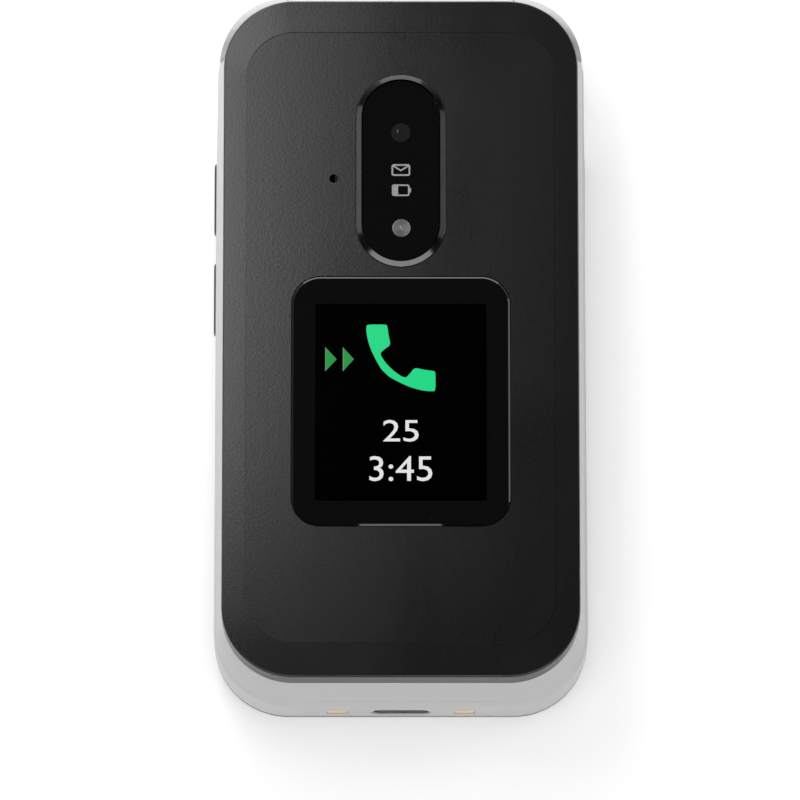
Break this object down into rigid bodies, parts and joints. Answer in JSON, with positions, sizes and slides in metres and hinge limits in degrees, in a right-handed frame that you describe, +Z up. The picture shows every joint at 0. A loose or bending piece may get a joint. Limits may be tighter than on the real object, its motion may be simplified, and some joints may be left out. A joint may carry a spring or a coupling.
{
  "type": "flip phone",
  "caption": "Folding mobile phone with a dark textured lid, small outer display, upright camera bar, white inner shell and large separate keys.",
  "frame": {"origin": "middle of the closed phone's footprint, on the surface that its back rests on", "axes": "+Z up through the lid's outer face, +Y to the hinge end, +X to the right as the outer display is read"},
  "size_m": [0.0568, 0.111, 0.0199],
  "materials": {
    "dark_cover": "fine-grained satin, dark grey",
    "white_shell": "satin white",
    "window_glass": "clear glass, printed black border",
    "camera_glass": "dark tinted glass",
    "dark_metal": "polished dark metal",
    "display": "display module",
    "camera_black": "black moulding",
    "lamp": "diffuse lens",
    "steel": "plain steel",
    "circuit_board": "green solder resist",
    "soft_rubber": "matte rubber",
    "battery_wrap": "black wrap",
    "gold": "gold-plated contact",
    "key_black": "satin black with white signs",
    "side_key_grey": "satin dark grey"
  },
  "bodies": {
    "base": {"front_case": "white_shell", "rear_case": "white_shell", "battery_cover": "dark_cover", "battery": "battery_wrap", "main_board": "circuit_board", "key_domes": "steel", "keypad_mat": "soft_rubber", "loudspeaker": "camera_black", "vibration_motor": "steel", "usb_socket": "steel", "charge_contacts": "gold", "sim_reader": "steel", "case_screws": "steel", "antenna": "circuit_board", "battery_contacts": "gold", "base_microphone": "steel", "hinge_shaft": "steel", "hinge_pin": "steel"},
    "lid": {"lid_cover": "dark_cover", "lid_frame": "white_shell", "outer_window": "window_glass", "outer_display": "display", "camera_ring": "dark_metal", "camera_window": "camera_glass", "camera_module": "camera_black", "flash_led": "lamp", "status_leds": "lamp", "lid_microphone": "steel", "lid_board": "circuit_board", "inner_window": "window_glass", "inner_display": "display", "earpiece": "camera_black", "lid_bumpers": "soft_rubber", "lid_screws": "steel", "hinge_cartridge": "steel"},
    "key_1": {"key_1": "key_black"},
    "key_2": {"key_2": "key_black"},
    "key_3": {"key_3": "key_black"},
    "key_4": {"key_4": "key_black"},
    "key_5": {"key_5": "key_black"},
    "key_6": {"key_6": "key_black"},
    "key_7": {"key_7": "key_black"},
    "key_8": {"key_8": "key_black"},
    "key_9": {"key_9": "key_black"},
    "key_star": {"key_star": "key_black"},
    "key_0": {"key_0": "key_black"},
    "key_hash": {"key_hash": "key_black"},
    "call_key": {"call_key": "key_black"},
    "end_key": {"end_key": "key_black"},
    "soft_left_key": {"soft_left_key": "key_black"},
    "soft_right_key": {"soft_right_key": "key_black"},
    "navigation_key": {"navigation_key": "key_black"},
    "ok_key": {"ok_key": "key_black"},
    "message_key": {"message_key": "key_black"},
    "back_key": {"back_key": "key_black"},
    "camera_key": {"camera_key": "key_black"},
    "volume_up_key": {"volume_up_key": "side_key_grey"},
    "volume_down_key": {"volume_down_key": "side_key_grey"},
    "assist_key": {"assist_key": "key_black"}
  },
  "joints": [
    {"name": "lid_hinge", "type": "hinge", "parent": "base", "child": "lid", "pos_m": [0, 0.0505, 0.0122], "axis": [-1, 0, 0], "range_deg": [0, 160]},
    {"name": "press_1", "type": "slide", "parent": "base", "child": "key_1", "axis": [0, 0, -1], "range_m": [0, 0.0003], "stiffness_N_per_m": 800},
    {"name": "press_2", "type": "slide", "parent": "base", "child": "key_2", "axis": [0, 0, -1], "range_m": [0, 0.0003], "stiffness_N_per_m": 800},
    {"name": "press_3", "type": "slide", "parent": "base", "child": "key_3", "axis": [0, 0, -1], "range_m": [0, 0.0003], "stiffness_N_per_m": 800},
    {"name": "press_4", "type": "slide", "parent": "base", "child": "key_4", "axis": [0, 0, -1], "range_m": [0, 0.0003], "stiffness_N_per_m": 800},
    {"name": "press_5", "type": "slide", "parent": "base", "child": "key_5", "axis": [0, 0, -1], "range_m": [0, 0.0003], "stiffness_N_per_m": 800},
    {"name": "press_6", "type": "slide", "parent": "base", "child": "key_6", "axis": [0, 0, -1], "range_m": [0, 0.0003], "stiffness_N_per_m": 800},
    {"name": "press_7", "type": "slide", "parent": "base", "child": "key_7", "axis": [0, 0, -1], "range_m": [0, 0.0003], "stiffness_N_per_m": 800},
    {"name": "press_8", "type": "slide", "parent": "base", "child": "key_8", "axis": [0, 0, -1], "range_m": [0, 0.0003], "stiffness_N_per_m": 800},
    {"name": "press_9", "type": "slide", "parent": "base", "child": "key_9", "axis": [0, 0, -1], "range_m": [0, 0.0003], "stiffness_N_per_m": 800},
    {"name": "press_star", "type": "slide", "parent": "base", "child": "key_star", "axis": [0, 0, -1], "range_m": [0, 0.0003], "stiffness_N_per_m": 800},
    {"name": "press_0", "type": "slide", "parent": "base", "child": "key_0", "axis": [0, 0, -1], "range_m": [0, 0.0003], "stiffness_N_per_m": 800},
    {"name": "press_hash", "type": "slide", "parent": "base", "child": "key_hash", "axis": [0, 0, -1], "range_m": [0, 0.0003], "stiffness_N_per_m": 800},
    {"name": "call_press", "type": "slide", "parent": "base", "child": "call_key", "axis": [0, 0, -1], "range_m": [0, 0.0003], "stiffness_N_per_m": 800},
    {"name": "end_press", "type": "slide", "parent": "base", "child": "end_key", "axis": [0, 0, -1], "range_m": [0, 0.0003], "stiffness_N_per_m": 800},
    {"name": "soft_left_press", "type": "slide", "parent": "base", "child": "soft_left_key", "axis": [0, 0, -1], "range_m": [0, 0.0003], "stiffness_N_per_m": 800},
    {"name": "soft_right_press", "type": "slide", "parent": "base", "child": "soft_right_key", "axis": [0, 0, -1], "range_m": [0, 0.0003], "stiffness_N_per_m": 800},
    {"name": "navigation_press", "type": "slide", "parent": "base", "child": "navigation_key", "axis": [0, 0, -1], "range_m": [0, 0.0003], "stiffness_N_per_m": 800},
    {"name": "ok_press", "type": "slide", "parent": "base", "child": "ok_key", "axis": [0, 0, -1], "range_m": [0, 0.0003], "stiffness_N_per_m": 800},
    {"name": "message_press", "type": "slide", "parent": "base", "child": "message_key", "axis": [0, 0, -1], "range_m": [0, 0.0003], "stiffness_N_per_m": 800},
    {"name": "back_press", "type": "slide", "parent": "base", "child": "back_key", "axis": [0, 0, -1], "range_m": [0, 0.0003], "stiffness_N_per_m": 800},
    {"name": "camera_press", "type": "slide", "parent": "base", "child": "camera_key", "axis": [0, 0, -1], "range_m": [0, 0.0003], "stiffness_N_per_m": 800},
    {"name": "volume_up_press", "type": "slide", "parent": "base", "child": "volume_up_key", "axis": [1, 0, 0], "range_m": [0, 0.0003], "stiffness_N_per_m": 800},
    {"name": "volume_down_press", "type": "slide", "parent": "base", "child": "volume_down_key", "axis": [1, 0, 0], "range_m": [0, 0.0003], "stiffness_N_per_m": 800},
    {"name": "assist_press", "type": "slide", "parent": "base", "child": "assist_key", "axis": [0, 0, 1], "range_m": [0, 0.0003], "stiffness_N_per_m": 800}
  ]
}
